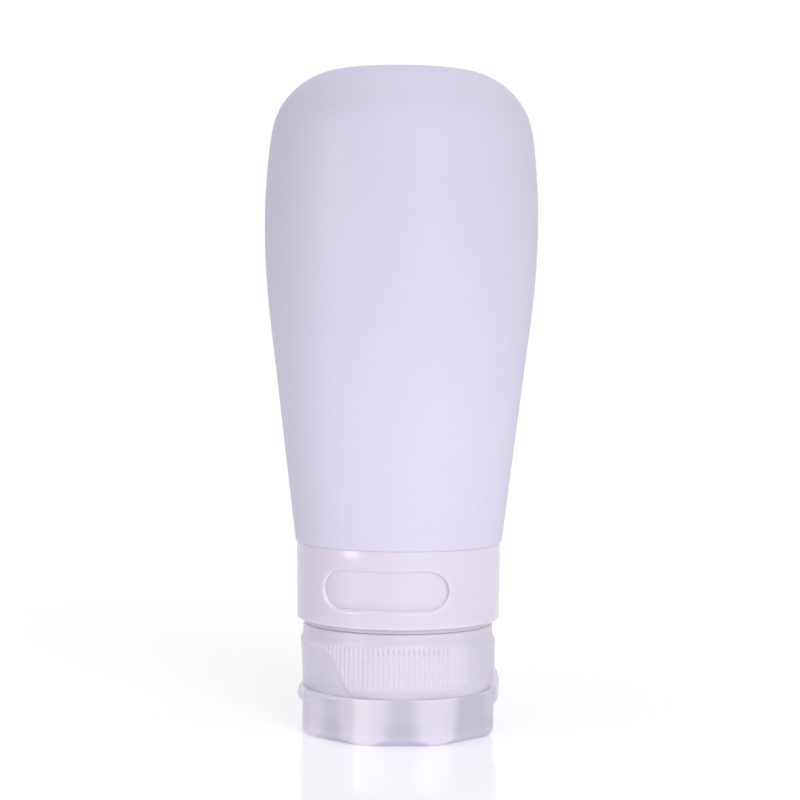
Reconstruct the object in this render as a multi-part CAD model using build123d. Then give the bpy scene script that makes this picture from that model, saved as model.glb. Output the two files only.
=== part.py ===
from build123d import *
import math
import os

# Travel squeeze bottle of soft silicone with a hard neck, a turning window collar,
# a ribbed screw cap and an eight-sided flip lid. It stands upside down on its lid.
# Millimetres, +Z up. The origin is the centre of the lid's outer face, on the surface
# that the bottle stands on. The lid's hinge is at +X, its thumb tab at -X, and the
# side that is seen from in front is -Y.

# Heights of the stack, from the lid upwards
lid_height = 8.1
parting_gap = 0.1
cap_height = 11.4
cap_to_collar_gap = 0.5
collar_height = 13.7
collar_to_body_gap = 0.1
body_height = 84.6

# Silicone body
belly_radius = 24.35
belly_height = 57.2
flank_radius = 108.0
shoulder_radius = 13.3
crown_radius = 102.0
cone_blend_radius = 143.0
mouth_overhang = 0.2
silicone_wall = 2.1
mouth_edge_radius = 0.6
cuff_wall = 1.7
cuff_foot_gap = 1.25
mouth_lip_height = 1.1
mouth_flare_height = 4.2

# Neck insert: threaded spout, flange and barbed tube
neck_bore_radius = 11.8
spout_wall = 2.3
spout_relief = 0.25
tube_wall = 1.4
flange_clearance = 0.35
flange_thickness = 1.2
barb_count = 3
barb_height = 0.35
barb_length = 2.4
barb_pitch = 3.4
barb_first_height = 1.6
rim_chamfer = 0.5

# Rings in the collar
clamp_wall = 1.15
clamp_chamfer = 0.25
clamp_foot_gap = 0.6
clamp_head_gap = 1.45
label_wall = 1.0
label_end_gap = 0.3
snug_clearance = 0.05
turning_clearance = 0.2

# Collar sleeve with its window
collar_wall = 0.95
collar_taper = 0.15
collar_lip_thickness = 0.9
collar_edge_chamfer = 0.35
window_length = 21.3
window_height = 7.6
window_angle = -8.5
window_edge_chamfer = 0.25

# Screw cap
thread_room = 1.43
cap_wall = 1.93
cap_rim_step = 0.48
cap_foot_step = 0.26
deck_thickness = 1.4
rim_band_height = 1.7
rim_edge_radius = 0.6
shoulder_height = 1.6
foot_band_height = 1.8
lead_in_chamfer = 0.5
rib_pitch_angle = 3.0
rib_groove_depth = 0.24
rib_zone_start_angle = 61.5
scoop_foot_width = 30.8
scoop_top_width = 24.4
scoop_depth = 0.3
scoop_corner_radius = 2.6
scoop_below_rim = 2.9

# Spout ring, slit valve and its retainer
orifice_radius = 3.4
spout_ring_wall = 1.2
spout_ring_height = 1.6
valve_flange_width = 2.5
valve_flange_thickness = 0.8
valve_skin = 0.5
valve_dome_rise = 0.9
valve_lip = 0.3
slit_length = 4.2
slit_width = 0.08
retainer_wall = 1.7
retainer_thickness = 0.8
seat_ring_wall = 0.9

# Neck gasket
gasket_thickness = 1.0
gasket_gap = 0.05
gasket_skirt_wall = 0.7
gasket_skirt_height = 1.8

# Flip lid
lid_step = 0.43
lid_corner_radius = 6.0
lid_foot_radius = 1.0
lid_plate = 1.4
lid_wall = 1.45
lid_pocket_radius = 0.8
plug_clearance = 0.15
plug_wall = 0.9
plug_overlap = 2.0
plug_tip_chamfer = 0.3
seal_ring_clearance = 0.3
seal_ring_wall = 0.8
seal_ring_stop = 0.6

# Thumb tab on the lid
tab_overhang = 0.97
tab_offset = 0.9
tab_height = 2.95
tab_bulge = 1.2
tab_sweep_radius = 24.4
ledge_height = 0.8
ledge_inset = 0.3
ledge_bulge = 0.35
tab_root_depth = 1.2

# Hinge strap, half on the cap and half on the lid
hinge_overhang = 0.92
strap_width = 9.6
strap_cap_height = 4.1
strap_lid_height = 3.25
strap_end_bulge = 0.25

# One overrun serves all cuts
overrun = 1.0

# Levels worked out from the stack
deck_level = lid_height + parting_gap
cap_top_level = deck_level + cap_height
collar_level = cap_top_level + cap_to_collar_gap
collar_top_level = collar_level + collar_height
body_level = collar_top_level + collar_to_body_gap
top_level = body_level + body_height
deck_inner_level = deck_level + deck_thickness
neck_rim_level = deck_inner_level + gasket_thickness + 2 * gasket_gap
collar_lip_level = collar_level + collar_lip_thickness
flange_level = collar_lip_level + gasket_gap
flange_top_level = flange_level + flange_thickness
tube_top_level = body_level + mouth_lip_height
cuff_foot_level = flange_top_level + cuff_foot_gap
clamp_foot_level = flange_top_level + clamp_foot_gap
clamp_top_level = body_level - clamp_head_gap

# Radii worked out from the fits
spout_radius = neck_bore_radius + spout_wall
tube_radius = neck_bore_radius + tube_wall
cuff_radius = tube_radius + cuff_wall
clamp_inner_radius = cuff_radius
clamp_radius = clamp_inner_radius + clamp_wall
label_inner_radius = clamp_radius + snug_clearance
label_radius = label_inner_radius + label_wall
collar_bore_radius = label_radius + turning_clearance
collar_top_radius = collar_bore_radius + collar_wall
collar_foot_radius = collar_top_radius - collar_taper
flange_radius = collar_bore_radius - flange_clearance
mouth_radius = collar_top_radius + mouth_overhang
cap_bore_radius = spout_radius + thread_room
cap_radius = cap_bore_radius + cap_wall
cap_rim_radius = cap_radius - cap_rim_step
cap_foot_radius = cap_radius - cap_foot_step
valve_open_radius = orifice_radius - valve_lip
valve_radius = valve_open_radius + valve_flange_width
spout_ring_radius = orifice_radius + spout_ring_wall
seat_bore_radius = valve_radius + snug_clearance
seat_ring_radius = seat_bore_radius + seat_ring_wall
lid_inradius = cap_radius - lid_step
lid_bore_radius = lid_inradius - lid_wall
plug_radius = orifice_radius - plug_clearance
seal_ring_inner_radius = spout_ring_radius + seal_ring_clearance
tab_reach = lid_inradius + tab_overhang
hinge_reach = lid_inradius + hinge_overhang

# The cone's lean in radians: from the mouth it runs in line into the blend arc
blend_reach = cone_blend_radius - (belly_radius - mouth_radius)
blend_apart = math.hypot(belly_height, blend_reach)
cone_lean = math.atan2(belly_height, blend_reach) - math.acos(cone_blend_radius / blend_apart)


def at(radius, height):
    """A point of a turned section, at a radius and a height."""
    return (radius, 0, height)


def turned(*edges):
    """A solid turned about Z from the edges of its half section."""
    return revolve(make_face([*edges]), axis=Axis.Z)


def turned_from(points):
    """A solid turned about Z from the corner points of its half section."""
    return revolve(make_face(Polyline(*points, close=True)), axis=Axis.Z)


def on_circle(centre, radius, angle):
    """The point of a circle in the section plane at an angle in radians."""
    return at(centre[0] + radius * math.cos(angle), centre[1] + radius * math.sin(angle))


def arc(centre, radius, first, last):
    """An arc of the section about a centre, between two angles in radians."""
    return ThreePointArc(
        on_circle(centre, radius, first),
        on_circle(centre, radius, (first + last) / 2),
        on_circle(centre, radius, last),
    )


def body_centres():
    """Centres of the arcs that meet in line: cone blend, flank, shoulder and crown."""
    belly = body_level + belly_height
    blend = (belly_radius - cone_blend_radius, belly)
    flank = (belly_radius - flank_radius, belly)
    crown = (0, top_level - crown_radius)
    from_flank = flank_radius - shoulder_radius
    from_crown = crown_radius - shoulder_radius
    apart = math.dist(flank, crown)
    along = (from_flank**2 - from_crown**2 + apart**2) / (2 * apart)
    aside = math.sqrt(from_flank**2 - along**2)
    step = ((crown[0] - flank[0]) / apart, (crown[1] - flank[1]) / apart)
    shoulder = (
        flank[0] + along * step[0] - aside * step[1],
        flank[1] + along * step[1] + aside * step[0],
    )
    if shoulder[0] < 0:
        shoulder = (
            flank[0] + along * step[0] + aside * step[1],
            flank[1] + along * step[1] - aside * step[0],
        )
    return blend, flank, shoulder, crown


def body_side(inset):
    """The body's outline from the top of its cone to the crown, moved inwards by a wall.

    The cone runs into a slack arc at the belly. A flank arc, the shoulder arc and the
    crown arc follow, each in line with the one before."""
    blend, flank, shoulder, crown = body_centres()
    lower = math.atan2(shoulder[1] - flank[1], shoulder[0] - flank[0])
    upper = math.atan2(shoulder[1] - crown[1], shoulder[0] - crown[0])
    return [
        arc(blend, cone_blend_radius - inset, -cone_lean, 0),
        arc(flank, flank_radius - inset, 0, lower),
        arc(shoulder, shoulder_radius - inset, lower, upper),
        arc(crown, crown_radius - inset, upper, math.pi / 2),
    ]


def cone_radius(height, inset):
    """The radius of the body's cone at a height, with its wall taken off."""
    start = on_circle(body_centres()[0], cone_blend_radius - inset, -cone_lean)
    return start[0] - (start[2] - height) * math.tan(cone_lean)


def barbed_side(bottom, top):
    """Corner points up the outside of the barbed tube, each barb rising and then stepping in."""
    points = [at(tube_radius, bottom)]
    for number in range(barb_count):
        foot = bottom + barb_first_height + number * barb_pitch
        points.append(at(tube_radius, foot))
        points.append(at(tube_radius + barb_height, foot))
        points.append(at(tube_radius, foot + barb_length))
    points.append(at(tube_radius, top))
    return points


def make_silicone_body():
    """The hollow body: a shell of even wall with a cuff that is stretched over the tube."""
    cavity_foot = tube_top_level + mouth_flare_height
    outer = body_side(0)
    inner = body_side(silicone_wall)
    tube_side = [p for p in barbed_side(flange_top_level, tube_top_level) if p[2] >= cuff_foot_level]
    outline = Polyline(
        inner[0] @ 0,
        at(cone_radius(cavity_foot, silicone_wall), cavity_foot),
        *reversed(tube_side),
        at(tube_radius, cuff_foot_level),
        at(cuff_radius, cuff_foot_level),
        at(cuff_radius, body_level),
        at(mouth_radius, body_level),
        outer[0] @ 0,
    )
    crown_web = Line(outer[3] @ 1, inner[3] @ 1)
    shell = revolve(make_face([outline, *outer, crown_web, *inner]), axis=Axis.Z)
    mouth_edge = shell.edges().filter_by(GeomType.CIRCLE).sort_by(
        lambda edge: abs(edge.radius - mouth_radius) + abs(edge.center().Z - body_level)
    )[0]
    return fillet(mouth_edge, mouth_edge_radius)


def make_neck_insert():
    """The hard neck: threaded spout below, flange in the middle, barbed tube above."""
    points = [
        at(neck_bore_radius, neck_rim_level + rim_chamfer),
        at(neck_bore_radius + rim_chamfer, neck_rim_level),
        at(spout_radius - rim_chamfer, neck_rim_level),
        at(spout_radius, neck_rim_level + rim_chamfer),
        at(spout_radius, flange_level - spout_relief),
        at(spout_radius, flange_level),
        at(flange_radius, flange_level),
        at(flange_radius, flange_top_level),
        *barbed_side(flange_top_level, tube_top_level - rim_chamfer),
        at(tube_radius - rim_chamfer, tube_top_level),
        at(neck_bore_radius, tube_top_level),
    ]
    return turned_from(points)


def make_clamp_ring():
    """The plain ring that holds the cuff down on the barbs."""
    return turned_from([
        at(clamp_inner_radius + clamp_chamfer, clamp_foot_level),
        at(clamp_radius, clamp_foot_level),
        at(clamp_radius, clamp_top_level),
        at(clamp_inner_radius + clamp_chamfer, clamp_top_level),
        at(clamp_inner_radius, clamp_top_level - clamp_chamfer),
        at(clamp_inner_radius, clamp_foot_level + clamp_chamfer),
    ])


def make_label_ring():
    """The content ring behind the window, which stands on the neck's flange."""
    top = body_level - label_end_gap
    return turned_from([
        at(label_inner_radius, flange_top_level),
        at(label_radius, flange_top_level),
        at(label_radius, top),
        at(label_inner_radius, top),
    ])


def window_cutter(grow):
    """A bar with round ends that points out through the collar, larger by twice grow."""
    middle = collar_level + collar_height / 2
    shape = SlotOverall(window_length + 2 * grow, window_height + 2 * grow)
    front = Plane(origin=(0, 0, middle), x_dir=(1, 0, 0), z_dir=(0, -1, 0))
    return (front * shape).face()


def make_collar_sleeve():
    """The turning collar: a thin sleeve with an inner lip below and a window in its wall."""
    foot = collar_level
    top = collar_top_level
    sleeve = turned_from([
        at(spout_radius + turning_clearance, foot),
        at(collar_foot_radius - collar_edge_chamfer, foot),
        at(collar_foot_radius, foot + collar_edge_chamfer),
        at(collar_top_radius, top - collar_edge_chamfer),
        at(collar_top_radius - collar_edge_chamfer, top),
        at(collar_bore_radius, top),
        at(collar_bore_radius, collar_lip_level),
        at(spout_radius + turning_clearance, collar_lip_level),
    ])
    reach = collar_top_radius + overrun
    window = extrude(window_cutter(0), amount=reach)
    bevel_start = collar_foot_radius - window_edge_chamfer
    bevel_shell = Solid.make_cylinder(reach, collar_height, Plane((0, 0, foot)))
    bevel_core = Solid.make_cylinder(bevel_start, collar_height, Plane((0, 0, foot)))
    bevel = extrude(window_cutter(window_edge_chamfer), amount=reach) & (bevel_shell - bevel_core)
    return (sleeve - window - bevel).rotate(Axis.Z, window_angle)


def make_neck_gasket():
    """The soft ring that is clipped onto the neck's rim, with a skirt inside the bore."""
    low = deck_inner_level + gasket_gap
    high = low + gasket_thickness
    skirt = neck_bore_radius - snug_clearance
    return turned_from([
        at(skirt - gasket_skirt_wall, low),
        at(spout_radius, low),
        at(spout_radius, high),
        at(skirt, high),
        at(skirt, high + gasket_skirt_height),
        at(skirt - gasket_skirt_wall, high + gasket_skirt_height),
    ])


def make_cap_blank():
    """The cap as turned: skirt, deck, spout ring outside and valve seat ring inside."""
    band_top = cap_top_level
    band_foot = band_top - rim_band_height
    full = band_foot - shoulder_height
    valve_top = deck_inner_level + valve_flange_thickness + retainer_thickness
    side = Polyline(
        at(orifice_radius, deck_level - spout_ring_height),
        at(spout_ring_radius, deck_level - spout_ring_height),
        at(spout_ring_radius, deck_level),
        at(cap_foot_radius, deck_level),
        at(cap_radius, deck_level + foot_band_height),
        at(cap_radius, full),
    )
    shoulder = Spline(
        at(cap_radius, full),
        at(cap_rim_radius, band_foot),
        tangents=[(0, 0, 1), (0, 0, 1)],
    )
    rim = Polyline(
        at(cap_rim_radius, band_foot),
        at(cap_rim_radius, band_top - rim_edge_radius),
        at(cap_rim_radius - rim_edge_radius, band_top),
        at(cap_bore_radius + lead_in_chamfer, band_top),
        at(cap_bore_radius, band_top - lead_in_chamfer),
        at(cap_bore_radius, deck_inner_level),
        at(seat_ring_radius, deck_inner_level),
        at(seat_ring_radius, valve_top),
        at(seat_bore_radius, valve_top),
        at(seat_bore_radius, deck_inner_level),
        at(orifice_radius, deck_inner_level),
        at(orifice_radius, deck_level - spout_ring_height),
    )
    return turned(side, shoulder, rim)


def rib_grooves():
    """The V grooves between the ribs, from the edge of the smooth hinge side round to the tab side."""
    foot = deck_level + foot_band_height
    height = cap_top_level - rim_band_height + rim_edge_radius - foot
    half_width = cap_radius * math.radians(rib_pitch_angle) / 2
    root = cap_radius - rib_groove_depth
    mouth = cap_radius + rib_groove_depth
    section = make_face(Polyline(
        (root, 0),
        (mouth, 2 * half_width),
        (mouth, -2 * half_width),
        close=True,
    ))
    groove = Pos(0, 0, foot) * extrude(section, amount=height)
    count = math.floor((180 - rib_zone_start_angle) / rib_pitch_angle)
    grooves = []
    for number in range(count + 1):
        turn = rib_zone_start_angle + number * rib_pitch_angle
        grooves.append(groove.rotate(Axis.Z, turn))
        grooves.append(groove.rotate(Axis.Z, -turn))
    return grooves


def scoop_outline():
    """The arch of the thumb scoop, seen along +X from outside the tab side."""
    top = cap_top_level - scoop_below_rim
    corners = Polyline(
        (0, -scoop_foot_width / 2, deck_level - overrun),
        (0, -scoop_foot_width / 2, deck_level),
        (0, -scoop_top_width / 2, top),
        (0, scoop_top_width / 2, top),
        (0, scoop_foot_width / 2, deck_level),
        (0, scoop_foot_width / 2, deck_level - overrun),
        close=True,
    )
    face = make_face(corners)
    high = face.vertices().filter_by(lambda v: v.Z > top - scoop_corner_radius)
    return fillet(high, scoop_corner_radius)


def scoop_cutter():
    """The shallow recess under the thumb: deep at the lid and running out upwards."""
    top = cap_top_level - scoop_below_rim
    bar = extrude(scoop_outline(), amount=cap_radius + overrun, dir=(-1, 0, 0))
    core = Solid.make_cone(
        cap_radius - 2 * scoop_depth,
        cap_radius - scoop_depth / 2,
        top - deck_level + 2 * overrun,
        Plane((0, 0, deck_level - overrun)),
    )
    return bar - core


def strap_half(root_radius, seam_level, end_level):
    """Half of the bowed hinge strap, from its seam to where it runs into the wall."""
    end_reach = root_radius + strap_end_bulge
    mean = (seam_level + end_level) / 2
    bow = ThreePointArc(
        (hinge_reach, 0, seam_level),
        ((hinge_reach + end_reach) / 2 + strap_end_bulge / 2, 0, mean),
        (end_reach, 0, end_level),
    )
    back = Polyline(
        (end_reach, 0, end_level),
        (root_radius - strap_end_bulge - cap_wall / 2, 0, end_level),
        (root_radius - strap_end_bulge - cap_wall / 2, 0, seam_level),
        (hinge_reach, 0, seam_level),
    )
    return extrude(make_face([bow, back]), amount=strap_width / 2, dir=(0, 1, 0), both=True)


def make_cap_body():
    """The screw cap with its ribs, thumb scoop and its half of the hinge strap."""
    cap = make_cap_blank()
    cap = cap - rib_grooves()
    cap = cap - scoop_cutter()
    strap = strap_half(cap_foot_radius, deck_level, deck_level + strap_cap_height)
    return cap + strap


def make_valve():
    """The slit valve: a flange, a domed skin and a cross of slits through it."""
    low = deck_inner_level
    skin_low = low + valve_flange_thickness - valve_skin
    rise = valve_dome_rise
    outer_dome = ThreePointArc(
        at(valve_open_radius, low + valve_flange_thickness),
        at(valve_open_radius * math.sqrt(0.5), low + valve_flange_thickness + rise / 2),
        at(0, low + valve_flange_thickness + rise),
    )
    inner_dome = ThreePointArc(
        at(0, skin_low + rise),
        at(valve_open_radius * math.sqrt(0.5), skin_low + rise / 2),
        at(valve_open_radius, skin_low),
    )
    flange = Polyline(
        at(valve_open_radius, skin_low),
        at(valve_open_radius, low),
        at(valve_radius, low),
        at(valve_radius, low + valve_flange_thickness),
        at(valve_open_radius, low + valve_flange_thickness),
    )
    axis_line = Line(at(0, low + valve_flange_thickness + rise), at(0, skin_low + rise))
    valve = turned(flange, outer_dome, axis_line, inner_dome)
    slit = Box(slit_length, slit_width, 4 * (rise + valve_flange_thickness))
    cross = Pos(0, 0, low) * (slit + slit.rotate(Axis.Z, 90))
    return valve - cross


def make_valve_retainer():
    """The ring that snaps into the seat ring and holds the valve's flange."""
    low = deck_inner_level + valve_flange_thickness
    return turned_from([
        at(valve_radius - retainer_wall, low),
        at(valve_radius, low),
        at(valve_radius, low + retainer_thickness),
        at(valve_radius - retainer_wall, low + retainer_thickness),
    ])


def tab_bead(low, high, bulge, inset):
    """A ring about the tab's own axis with a bowed outer side, set in from the tab's reach."""
    radius = tab_reach - tab_offset - inset
    bow = ThreePointArc(
        at(radius - bulge, low),
        at(radius, (low + high) / 2),
        at(radius - bulge, high),
    )
    back = Polyline(
        at(radius - bulge, high),
        at(radius - bulge - tab_root_depth, high),
        at(radius - bulge - tab_root_depth, low),
        at(radius - bulge, low),
    )
    return Pos(-tab_offset, 0, 0) * revolve(make_face([bow, back]), axis=Axis.Z)


def make_thumb_tab():
    """The crescent ledge along three sides of the lid and the thicker tab in its middle."""
    ledge = tab_bead(lid_height - ledge_height, lid_height, ledge_bulge, ledge_inset)
    foot = lid_height - tab_height
    bead = tab_bead(foot, lid_height, tab_bulge, 0)
    sweep = Pos(-cap_radius, 0, foot + tab_sweep_radius) * Rot(0, 90, 0) * Cylinder(
        tab_sweep_radius, cap_radius
    )
    return ledge + (bead & sweep)


def lid_block():
    """The lid's outside: an eight-sided block with rounded corners and a rounded foot."""
    octagon = RegularPolygon(lid_inradius, 8, major_radius=False, rotation=180 / 8)
    block = extrude(fillet(octagon.vertices(), lid_corner_radius), amount=lid_height)
    return fillet(block.faces().sort_by(Axis.Z)[0].edges(), lid_foot_radius)


def lid_side_of_tab():
    """A half space on the tab side, which keeps the crescent off the hinge side."""
    size = 4 * cap_radius
    return Pos(-size / 2, 0, lid_height / 2) * Box(size, size, 4 * lid_height)


def make_flip_lid():
    """The lid: block, crescent and tab, pocket, plug, seal ring and half of the strap."""
    lid = lid_block() + (make_thumb_tab() & lid_side_of_tab())
    pocket = Pos(0, 0, lid_plate) * extrude(Circle(lid_bore_radius), amount=lid_height)
    pocket_foot = pocket.faces().sort_by(Axis.Z)[0].edges()
    lid = lid - fillet(pocket_foot, lid_pocket_radius)
    plug_top = deck_level - spout_ring_height + plug_overlap
    plug = turned_from([
        at(plug_radius - plug_wall, lid_plate / 2),
        at(plug_radius, lid_plate / 2),
        at(plug_radius, plug_top - plug_tip_chamfer),
        at(plug_radius - plug_tip_chamfer, plug_top),
        at(plug_radius - plug_wall, plug_top),
    ])
    seal_top = deck_level - seal_ring_stop
    seal = turned_from([
        at(seal_ring_inner_radius, lid_plate / 2),
        at(seal_ring_inner_radius + seal_ring_wall, lid_plate / 2),
        at(seal_ring_inner_radius + seal_ring_wall, seal_top),
        at(seal_ring_inner_radius, seal_top),
    ])
    strap = strap_half(lid_inradius, lid_height, lid_height - strap_lid_height)
    return lid + plug + seal + strap


sub_parts = {
    "silicone_body": make_silicone_body,
    "neck_insert": make_neck_insert,
    "clamp_ring": make_clamp_ring,
    "label_ring": make_label_ring,
    "collar_sleeve": make_collar_sleeve,
    "neck_gasket": make_neck_gasket,
    "cap_body": make_cap_body,
    "slit_valve": make_valve,
    "valve_retainer": make_valve_retainer,
    "flip_lid": make_flip_lid,
}

os.makedirs("parts", exist_ok=True)
for name, make in sub_parts.items():
    shape = make()
    export_step(shape, f"parts/{name}.step")
    print(name, "volume", round(shape.volume / 1000, 2), "ml")
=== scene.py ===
import logging
import math
from dataclasses import dataclass, field
from enum import Enum
from typing import Callable

import bpy
import numpy as np
from mathutils import Matrix, Vector


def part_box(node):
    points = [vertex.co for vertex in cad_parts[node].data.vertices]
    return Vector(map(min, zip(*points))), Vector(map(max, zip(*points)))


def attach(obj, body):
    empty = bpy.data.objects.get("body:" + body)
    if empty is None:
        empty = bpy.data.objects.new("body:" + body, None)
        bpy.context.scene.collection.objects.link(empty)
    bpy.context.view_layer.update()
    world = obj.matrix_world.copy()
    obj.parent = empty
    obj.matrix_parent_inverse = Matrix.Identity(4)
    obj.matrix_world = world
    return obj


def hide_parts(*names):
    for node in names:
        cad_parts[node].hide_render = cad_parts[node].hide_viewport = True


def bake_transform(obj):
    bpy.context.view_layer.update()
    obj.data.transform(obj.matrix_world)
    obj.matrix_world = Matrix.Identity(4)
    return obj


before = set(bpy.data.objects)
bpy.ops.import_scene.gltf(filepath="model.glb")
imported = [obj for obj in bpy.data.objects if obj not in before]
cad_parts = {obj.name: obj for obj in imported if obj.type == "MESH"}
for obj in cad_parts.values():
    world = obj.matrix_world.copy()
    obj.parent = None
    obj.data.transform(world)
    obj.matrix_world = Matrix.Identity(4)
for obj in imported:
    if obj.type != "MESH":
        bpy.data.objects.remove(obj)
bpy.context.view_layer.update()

# Looks of a soft silicone travel bottle that stands upside down on its flip lid.
# Lengths are metres, mostly written as millimetres times MM. The corners of sections, the
# tube's two sizes and the fields that a class's docstring names are plain millimetres.
# Angles of the turned pieces run from +X, the hinge side, towards +Y, so -90 degrees
# faces the camera.

MM = 0.001
FULL_TURN = 2 * math.pi
FRONT = -math.pi / 2
# Name of the attribute that carries each piece's painted light and shade.
LIGHT_AND_SHADE = "light_and_shade"
RING_COLUMNS = 192
TUBE_RADIUS = 13.2
TUBE_TOP = 35.0
SIDE_SPAN = (0.75, 0.95)  # cosines between which the shade of one side comes in
WHITE = (1.0, 1.0, 1.0, 1.0)

Array = np.ndarray
Field = Callable[[Array], Array]
Pair = tuple[float, float]
Triple = tuple[float, float, float]
Socket = bpy.types.NodeSocket

log = logging.getLogger("bottle")


class Body(Enum):
    """The rigid bodies that pieces ride on."""

    CAP = "cap"
    LID = "lid"
    GASKET = "gasket"
    BOTTLE = "bottle"
    COLLAR = "collar"


class Slot(Enum):
    """The record's material slots."""

    SILICONE = "silicone_lilac"
    COLLAR = "collar_plastic"
    LABEL = "label_plastic"
    NECK = "neck_plastic"
    CAP = "cap_plastic"
    VALVE = "valve_silicone"
    CLAMP = "clamp_plastic"


def smooth_step(value: Array, low: float, high: float) -> Array:
    """Goes from 0 at low to 1 at high along 3t^2 - 2t^3, also where low is the greater."""
    t = np.clip((value - low) / (high - low), 0.0, 1.0)
    return t * t * (3.0 - 2.0 * t)


def soft_most(first: Array, second: Array, blend: float) -> Array:
    """The greater of two fields with a quadratic fillet of width blend in their crease."""
    gap = np.maximum(blend - np.abs(first - second), 0.0) / blend
    return np.maximum(first, second) + gap * gap * blend / 4.0


def turns(count: int) -> Array:
    """Equal angles round a full turn, with the last one on top of the first."""
    return np.linspace(-math.pi, math.pi, count + 1)


def levels(*spans: tuple[float, float, int]) -> Array:
    """Heights in metres through spans (from, to, steps) in millimetres, shared ends once."""
    parts = [np.linspace(low, high, steps + 1)[:-1] for low, high, steps in spans]
    return np.concatenate([*parts, [spans[-1][1]]]) * MM


def turned(radii: Array, heights: Array, angles: Array) -> Array:
    """Points (radius cos angle, radius sin angle, height) for every row and angle.

    Args:
        radii: one radius for each row, or one for each row and angle.
        heights: one height for each row, or one for each row and angle.
        angles: the angles of the columns.

    Returns:
        The grid, of shape (rows, angles, 3).
    """
    radius, height = (rows if rows.ndim == 2 else rows[:, None] for rows in (radii, heights))
    grid = np.broadcast_arrays(radius * np.cos(angles), radius * np.sin(angles), height)
    return np.stack(grid, axis=-1)


def rounded(corners: list[Triple], steps: int = 4, close: bool = False) -> Array:
    """A section through corner points, each corner replaced by an arc in line with its sides.

    The arc of radius q at a corner of half angle a starts q / tan(a) before the corner,
    and its centre lies q / sin(a) along the bisector.

    Args:
        corners: (radius, height, rounding) of each corner, in millimetres.
        steps: the number of spans in each arc.
        close: whether the last corner joins the first.

    Returns:
        The section's points in metres, of shape (points, 2).
    """
    places = np.array([corner[:2] for corner in corners], float)
    points: list[Array] = []
    count = len(corners)
    for number, (_, _, radius) in enumerate(corners):
        here = places[number]
        if radius <= 0.0 or (not close and number in (0, count - 1)):
            points.append(here)
            continue
        back = places[(number - 1) % count] - here
        ahead = places[(number + 1) % count] - here
        back /= np.linalg.norm(back)
        ahead /= np.linalg.norm(ahead)
        half = math.acos(float(np.clip(back @ ahead, -1.0, 1.0))) / 2.0
        middle = (back + ahead) / np.linalg.norm(back + ahead)
        centre = here + middle * radius / math.sin(half)
        start = here + back * radius / math.tan(half) - centre
        end = here + ahead * radius / math.tan(half) - centre
        turn = math.atan2(start[0] * end[1] - start[1] * end[0], start @ end)
        for share in np.linspace(0.0, 1.0, steps + 1):
            c, s = math.cos(turn * share), math.sin(turn * share)
            arm = (c * start[0] - s * start[1], s * start[0] + c * start[1])
            points.append(centre + arm)
    section = np.array(points) * MM
    return np.vstack([section, section[:1]]) if close else section


def divided(section: Array, longest: float = 3.0 * MM) -> Array:
    """The same section with its long spans cut into equal parts.

    Args:
        section: points of shape (points, 2).
        longest: the greatest length that a span may keep.

    Returns:
        The section with the added points.
    """
    parts: list[Array] = []
    for start, end in zip(section[:-1], section[1:]):
        pieces = max(1, math.ceil(float(np.linalg.norm(end - start)) / longest))
        share = np.arange(pieces)[:, None] / pieces
        parts.append(start + (end - start) * share)
    return np.vstack([*parts, section[-1:]])


def placed(name: str, data: bpy.types.ID) -> bpy.types.Object:
    """Puts a new object into the scene, at the origin.

    Args:
        name: its name.
        data: its mesh, lamp or camera.

    Returns:
        The object.
    """
    thing = bpy.data.objects.new(name, data)
    bpy.context.scene.collection.objects.link(thing)
    return thing


@dataclass
class Skin:
    """Grids of points that are welded into the one mesh of a piece."""

    name: str
    crease: float = math.radians(40.0)
    weld_size: float = 1.7e-7
    grids: list[tuple[Array, bool]] = field(default_factory=list)

    def add(self, points: Array, flip: bool = False) -> "Skin":
        """Adds a grid (rows, columns, 3), with its faces turned over if flip is set."""
        self.grids.append((np.asarray(points, float), flip))
        return self

    def turn(self, section: Array, angles: Array) -> "Skin":
        """Adds the grid of a section (radius, height) that is turned through the angles."""
        return self.add(turned(section[:, 0], section[:, 1], angles))

    def faces(self) -> tuple[Array, Array]:
        """Joins neighbouring rows and columns, and welds points that round to one place.

        Returns:
            The vertices and the four-sided faces, as indices.
        """
        quads: list[Array] = []
        start = 0
        for points, flip in self.grids:
            rows, columns = points.shape[:2]
            index = np.arange(rows * columns).reshape(rows, columns) + start
            sides = [index[:-1, :-1], index[:-1, 1:], index[1:, 1:], index[1:, :-1]]
            quads.append(np.stack(sides[::-1] if flip else sides, axis=-1).reshape(-1, 4))
            start += rows * columns
        cloud = np.vstack([points.reshape(-1, 3) for points, _ in self.grids])
        keys = np.round(cloud / self.weld_size).astype(np.int64)
        _, first, merged = np.unique(keys, axis=0, return_index=True, return_inverse=True)
        return cloud[first], merged.reshape(-1)[np.vstack(quads)]

    def build(self) -> bpy.types.Object:
        """Makes the mesh, with faces that collapsed at a pole left as triangles.

        Returns:
            The object, which sits at the origin.
        """
        vertices, quads = self.faces()
        same = quads == np.roll(quads, -1, axis=1)
        whole = quads[~same.any(axis=1)].tolist()
        pinched = [list(dict.fromkeys(face)) for face in quads[same.any(axis=1)].tolist()]
        polygons = whole + [face for face in pinched if len(face) == 3]
        mesh = bpy.data.meshes.new(self.name)
        mesh.from_pydata(vertices.tolist(), [], polygons)
        mesh.validate()
        mesh.polygons.foreach_set("use_smooth", np.ones(len(mesh.polygons), bool))
        mesh.set_sharp_from_angle(angle=self.crease)
        mesh.update()
        log.info("%s: %d vertices, %d faces", self.name, len(vertices), len(polygons))
        return placed(self.name, mesh)


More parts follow.
